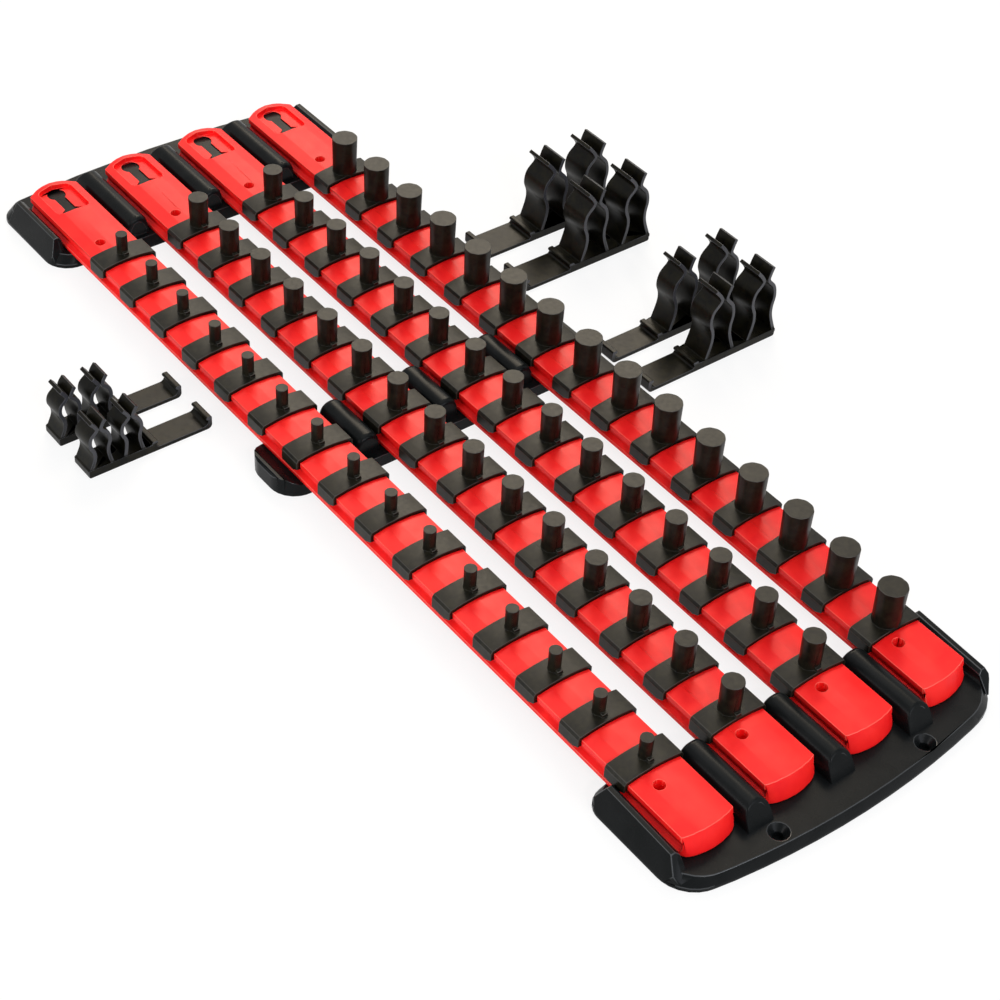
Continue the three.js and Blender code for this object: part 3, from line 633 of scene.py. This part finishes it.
def socket_clip(radius, top, name):
    """One clip at the origin, its front towards -Y."""
    end = STRAP_LENGTH / 2
    clip = skin([at_y(strap_section(), -end), at_y(strap_section(), end)], name)
    outside, under, high = -end - OVERRUN, LEG_FOOT - OVERRUN, LEG_FOOT + SLOPE_HEIGHT
    slope = [(outside, under), (SLOPE_LENGTH - end, under), (SLOPE_LENGTH - end, LEG_FOOT),
             (-end, high), (outside, high)]
    cut = skin([[(x, y, z) for y, z in slope] for x in (-CUT_HALF, CUT_HALF)], "cut")
    clip = combine(clip, cut, "DIFFERENCE")
    root = STRAP_TOP - POST_ROOT
    post = skin([post_ring(radius * POST_ROOT_SHARE, root), post_ring(radius, top)], "post")
    clip = combine(clip, post, "UNION")
    front = max(-radius - LUG_REACH, LUG_SETBACK - end)
    plan = [(-LUG_HALF, LUG_REACH - radius), (-LUG_HALF, front), (LUG_HALF, front),
            (LUG_HALF, LUG_REACH - radius)]
    lug = skin([[(x, y, z) for x, y in plan] for z in (root, STRAP_TOP + LUG_HEIGHT)], "lug")
    clip = combine(clip, lug, "UNION")
    soften(clip, CLIP_EDGE_MM)
    return mark_rims(plain_mesh(clip, name))


clip_shapes = [socket_clip(radius, top, f"clip_shape_{i + 1}")
               for i, (radius, top) in enumerate(zip(POST_RADII, POST_TOPS))]
print([len(shape.data.polygons) for shape in clip_shapes], "faces in the four clips")

# %% [markdown]
# Sixty clips stand in rows, so a Geometry Nodes tree sets them out. It makes a line of
# points, puts a clip on each, and turns and shifts it a hair, because real clips are
# pushed on by hand and never stand quite square. The tree ends by making the copies real
# and giving them their material. Each call gives one plain mesh for one body.

# %% A Geometry Nodes tree for a row of clips
TURN_SALT, SHIFT_SALT = 0, 100


def new_tree(name, inputs):
    """An empty tree with named inputs, its input node and its output node."""
    tree = bpy.data.node_groups.new(name, "GeometryNodeTree")
    tree.interface.new_socket("Geometry", in_out="OUTPUT", socket_type="NodeSocketGeometry")
    for label, kind in inputs:
        tree.interface.new_socket(label, in_out="INPUT", socket_type="NodeSocket" + kind)
    return tree, node(tree, "NodeGroupInput").outputs, node(tree, "NodeGroupOutput")


def clip_row_tree():
    """The tree that sets out a row of clips."""
    inputs = [("Clip", "Object"), ("Count", "Int"), ("Start", "Vector"), ("Step", "Vector"),
              ("Turn", "Float"), ("Shift", "Float"), ("Seed", "Int"), ("Material", "Material")]
    tree, given, result = new_tree("clip_row", inputs)
    line = node(tree, "GeometryNodeMeshLine", links={
        "Count": given["Count"], "Start Location": given["Start"], "Offset": given["Step"]},
        mode="OFFSET")
    clip = node(tree, "GeometryNodeObjectInfo", links={"Object": given["Clip"]})

    def random(limit, salt):
        low = node(tree, "ShaderNodeMath", {1: -1.0}, {0: limit}, operation="MULTIPLY")
        seed = node(tree, "ShaderNodeMath", {1: float(salt)}, {0: given["Seed"]})
        return node(tree, "FunctionNodeRandomValue", links={
            "Min": low.outputs[0], "Max": limit, "Seed": seed.outputs[0]}).outputs["Value"]

    turn = node(tree, "ShaderNodeCombineXYZ", links={"Z": random(given["Turn"], TURN_SALT)})
    shift = node(tree, "ShaderNodeCombineXYZ", links={"Y": random(given["Shift"], SHIFT_SALT)})
    moved = node(tree, "GeometryNodeSetPosition", links={
        "Geometry": line.outputs["Mesh"], "Offset": shift.outputs["Vector"]})
    row = node(tree, "GeometryNodeInstanceOnPoints", links={
        "Points": moved.outputs["Geometry"], "Instance": clip.outputs["Geometry"],
        "Rotation": turn.outputs["Vector"]})
    real = node(tree, "GeometryNodeRealizeInstances", links={
        "Geometry": row.outputs["Instances"]})
    painted = node(tree, "GeometryNodeSetMaterial", links={
        "Geometry": real.outputs["Geometry"], "Material": given["Material"]})
    tree.links.new(painted.outputs["Geometry"], result.inputs["Geometry"])
    return tree


def from_tree(tree, name, **values):
    """A plain mesh made by a tree, with its inputs set by their identifiers."""
    obj = bpy.data.objects.new(name, bpy.data.meshes.new(name))
    bpy.context.scene.collection.objects.link(obj)
    change = obj.modifiers.new("tree", "NODES")
    change.node_group = tree
    for item in tree.interface.items_tree:
        if item.in_out == "INPUT":
            change[item.identifier] = values[item.name.lower()]
    return plain_mesh(obj, name)


clip_row = clip_row_tree()
print("the tree has", len(clip_row.nodes), "nodes")

# %% [markdown]
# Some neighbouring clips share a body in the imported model, so its names say which clips
# each body holds: the numbers at the end of the name. Clip 1 is next to the keyhole.

# %% Set out the sixty clips
CLIP_PITCH, FIRST_CLIP_Y = 26.5, 152.5
TURN_DEGREES, SHIFT_MM, SEEDS_PER_RAIL = 0.5, 0.12, 20

clips_made = 0
for body in frame["bodies"]:
    parts = body.split("_")
    if len(parts) < 4 or parts[2] != "clip" or parts[0] != "rail":
        continue
    rail_number, first, count = int(parts[1]), int(parts[3]), len(parts) - 3
    first_y = FIRST_CLIP_Y - (first - 1) * CLIP_PITCH
    start = Vector((rail_middle(rail_number), first_y, 0)) * MM
    row = from_tree(clip_row, body + "_moulded", clip=clip_shapes[rail_number - 1], count=count,
                    start=start, step=Vector((0, -CLIP_PITCH, 0)) * MM,
                    turn=math.radians(TURN_DEGREES), shift=SHIFT_MM * MM,
                    seed=rail_number * SEEDS_PER_RAIL + first, material=clip_black)
    row = plain_mesh(shade(row), row.name)
    dress(row, clip_black, body, body)
    clips_made += count
for shape in clip_shapes:
    bpy.data.objects.remove(shape)
print(clips_made, "clips set out")

# %% [markdown]
# A loose tool clip is a strip with a hook at one end and a low ridge that together snap
# over a rail, and two pairs of wavy fingers that grip a tool. A finger's path is given by
# a few points, and a smooth curve is run through them.

# %% Tool clips
STRIP, BASE, HOOK, HOOK_HEIGHT, HOOK_LIP = 2.0, 4.0, 1.8, 6.4, 1.0
RIDGE_HEIGHT, RIDGE, RIDGE_LIP, SEAT, BEAD = 5.3, 2.2, 0.7, 25.4, 1.6
FINGER_ROOT, FRONT_TAPER, REAR_TAPER = 1.5, 1.2, 0.6
FINGER_HEIGHTS = (0, 0.25, 0.4, 0.55, 0.7, 0.82, 0.9, 1)
ELBOW_ROUND, LIP_ROUND, NOTCH_ROUND, RIDGE_FILLET, RIDGE_ROUND = 2.2, 0.7, 0.2, 1.2, 0.6
BASE_FILLET, BASE_ROUND, FOOT_ROUND = 0.3, 0.5, 1
TOOL_CLIP_EDGE_MM, TOOL_CLIP_EDGE_ANGLE, SIDES_ABOVE_BASE = 0.25, 35, 0.5


def finger_section(x, side, grip, tip, thick, shares):
    """The closed section of one finger, whose path leans out by shares of the grip."""
    root = BASE - FINGER_ROOT
    path = smooth_path([Vector((x + side * grip * share, root + (tip - root) * height))
                        for height, share in zip(FINGER_HEIGHTS, shares)])
    left, right = [], []
    for i, point in enumerate(path):
        along = (path[min(i + 1, len(path) - 1)] - path[max(i - 1, 0)]).normalized()
        across = Vector((-along.y, along.x)) * thick / 2
        left.append(tuple(point + across))
        right.append(tuple(point - across))
    return left + right[::-1]


def tool_clip(name, hook_x, way, gaps, grip, tip, thick, inward, outward, foot, start, end):
    """One tool clip, its strip running from the hook towards +X or -X."""
    inner = hook_x + way * HOOK
    ridge = inner + way * SEAT
    ridge_end = ridge + way * RIDGE
    near = ridge_end + way * (gaps[0] + grip)
    far = near + way * (gaps[1] + 2 * grip)
    last = far + way * (gaps[2] + grip)
    lip, bead = inner + way * HOOK_LIP, ridge - way * RIDGE_LIP
    notch, ridge_notch = HOOK_HEIGHT - BEAD, RIDGE_HEIGHT - BEAD
    profile = rounded([
        (hook_x, 0, ELBOW_ROUND), (hook_x, HOOK_HEIGHT, LIP_ROUND), (lip, HOOK_HEIGHT, LIP_ROUND),
        (lip, notch, LIP_ROUND), (inner, notch, NOTCH_ROUND), (inner, STRIP, ELBOW_ROUND),
        (ridge, STRIP, RIDGE_FILLET), (ridge, ridge_notch, NOTCH_ROUND),
        (bead, ridge_notch, LIP_ROUND), (bead, RIDGE_HEIGHT, LIP_ROUND),
        (ridge_end, RIDGE_HEIGHT, RIDGE_ROUND), (ridge_end, BASE, BASE_FILLET),
        (last, BASE, BASE_ROUND), (last, 0, FOOT_ROUND)])
    clip = skin([at_y(profile, start), at_y(profile, end)], name)
    for x in (near, far):
        for side in (-1, 1):
            shares = list(outward if side == way else inward)
            if side == way and x == far:
                shares[0] = foot
            section = finger_section(x, side, grip, tip, thick, shares)
            rings = [[(px, y + lean * pz / tip, pz) for px, pz in section]
                     for y, lean in ((start, FRONT_TAPER), (end, -REAR_TAPER))]
            clip = combine(clip, skin(rings, "finger"), "UNION")
    soften(clip, TOOL_CLIP_EDGE_MM, TOOL_CLIP_EDGE_ANGLE)
    # The finger sides above the base are marked too, so they get the painted rim highlight.
    marked = mark_rims(plain_mesh(clip, name), BASE + SIDES_ABOVE_BASE)
    return plain_mesh(shade(marked), name)


SMALL = dict(hook_x=-82.3, way=-1, gaps=(3.7, 5.6, 2.3), grip=4.7, tip=27, thick=1.7, foot=1.28,
             inward=(1, 0.7, 0.7, 0.94, 0.8, 0.22, 0.3, 0.66),
             outward=(1, 0.72, 0.72, 1.02, 0.88, 0.26, 0.34, 0.72))
LARGE = dict(hook_x=88.6, way=1, gaps=(4, 8.2, 0.4), grip=8.4, tip=39.7, thick=1.7, foot=1,
             inward=(1, 0.66, 0.64, 0.84, 0.72, 0.22, 0.3, 0.66),
             outward=(1, 0.64, 0.61, 0.74, 0.62, 0.2, 0.24, 0.44))
SMALL_ROWS = ((42.6, 55.1), (67.6, 79.6))
LARGE_ROWS = ((44.2, 61), (74.6, 91.2), (-45, -30.5), (-19.8, -6.8))
for kind, sizes, rows in (("small", SMALL, SMALL_ROWS), ("large", LARGE, LARGE_ROWS)):
    for number, (start, end) in enumerate(rows, 1):
        solid = f"{kind}_tool_clip_{number}"
        clip = tool_clip(solid + "_moulded", start=start, end=end, **sizes)
        dress(clip, nylon_black, solid, solid)
        print(clip.name, len(clip.data.polygons), "faces")

# %% [markdown]
# The holder stands on a white studio table with no edge in sight. The floor is close to
# white for the camera and for reflections, and takes a soft shadow. The world behind it
# is white in the same rays, and lights the object with a quiet grey, so that colours come
# out about as they are written.

# %% Floor and world
FLOOR_HALF = 6.0
SHADOW_SHARE, WORLD_STRENGTH = 0.16, 0.3


def sees_background(tree):
    """One for camera, glossy and transmission rays, and nought for light on the object."""
    path = node(tree, "ShaderNodeLightPath")
    first = node(tree, "ShaderNodeMath", links={
        0: path.outputs["Is Camera Ray"], 1: path.outputs["Is Glossy Ray"]}, operation="MAXIMUM")
    both = node(tree, "ShaderNodeMath", links={
        0: first.outputs[0], 1: path.outputs["Is Transmission Ray"]}, operation="MAXIMUM")
    return both.outputs[0]


floor_mesh = bpy.data.meshes.new("floor")
side = FLOOR_HALF
floor_mesh.from_pydata([(-side, -side, 0), (side, -side, 0), (side, side, 0), (-side, side, 0)],
                       [], [(0, 1, 2, 3)])
floor = bpy.data.objects.new("floor", floor_mesh)
bpy.context.scene.collection.objects.link(floor)
paper = bpy.data.materials.new("white_table")
paper.use_nodes = True
tree = paper.node_tree
tree.nodes.remove(tree.nodes["Principled BSDF"])
matt = node(tree, "ShaderNodeBsdfDiffuse", {"Color": colour("#ffffff")})
glow = node(tree, "ShaderNodeEmission", {"Color": colour("#ffffff"), "Strength": 1.0})
seen = node(tree, "ShaderNodeMath", {1: 1 - SHADOW_SHARE}, {0: sees_background(tree)},
            operation="MULTIPLY")
mixed = node(tree, "ShaderNodeMixShader", links={
    0: seen.outputs[0], 1: matt.outputs[0], 2: glow.outputs[0]})
tree.links.new(mixed.outputs[0], tree.nodes["Material Output"].inputs["Surface"])
floor_mesh.materials.append(paper)

world = bpy.data.worlds.new("studio")
bpy.context.scene.world = world
world.use_nodes = True
tree = world.node_tree
quiet = tree.nodes["Background"]
quiet.inputs["Color"].default_value = colour("#ffffff")
quiet.inputs["Strength"].default_value = WORLD_STRENGTH
white = node(tree, "ShaderNodeBackground", {"Color": colour("#ffffff"), "Strength": 1.0})
mixed = node(tree, "ShaderNodeMixShader", links={
    0: sees_background(tree), 1: quiet.outputs[0], 2: white.outputs[0]})
tree.links.new(mixed.outputs[0], tree.nodes["World Output"].inputs["Surface"])
print("floor", 2 * FLOOR_HALF, "m wide")

# %% [markdown]
# Five lamps. A wide soft box hangs overhead. A warm one stands behind the right side,
# where level faces mirror it: that is why black tops look brownish and black sides do
# not. A wide one in front lights the noses of the rails, a low one at the left the sides
# of the flanges, and a tiny bright one in front, high behind the camera, adds small
# highlights on rounded rims.

# %% Lamps
def lamp(name, place, target, size, watts, hue):
    """A square soft box at a place, turned towards a target, both in metres."""
    light = bpy.data.lights.new(name, "AREA")
    light.shape = "SQUARE"
    light.size = size
    light.energy = watts
    light.color = colour(hue)[:3]
    obj = bpy.data.objects.new(name, light)
    way = Vector(target) - Vector(place)
    turned = way.to_track_quat("-Z", "Y").to_matrix().to_4x4()
    obj.matrix_world = Matrix.Translation(place) @ turned
    bpy.context.scene.collection.objects.link(obj)


lamp("overhead_box", (0.1, 0.1, 1.8), (0, 0, 0), size=1.6, watts=8, hue="#ffffff")
lamp("warm_box", (0.9, 1.1, 1.3), (0, 0, 0), size=0.9, watts=22, hue="#fff0d8")
lamp("front_box", (0.2, -1.6, 0.9), (0, -0.05, 0), size=0.9, watts=11, hue="#f0f4ff")
lamp("left_box", (-1.5, 0.1, 0.5), (0, 0, 0), size=0.8, watts=9, hue="#ffffff")
lamp("glint", (-0.45, -1.45, 1.15), (0, 0, 0), size=0.12, watts=6, hue="#ffffff")
bpy.context.scene.view_settings.view_transform = "Standard"
print("five lamps")
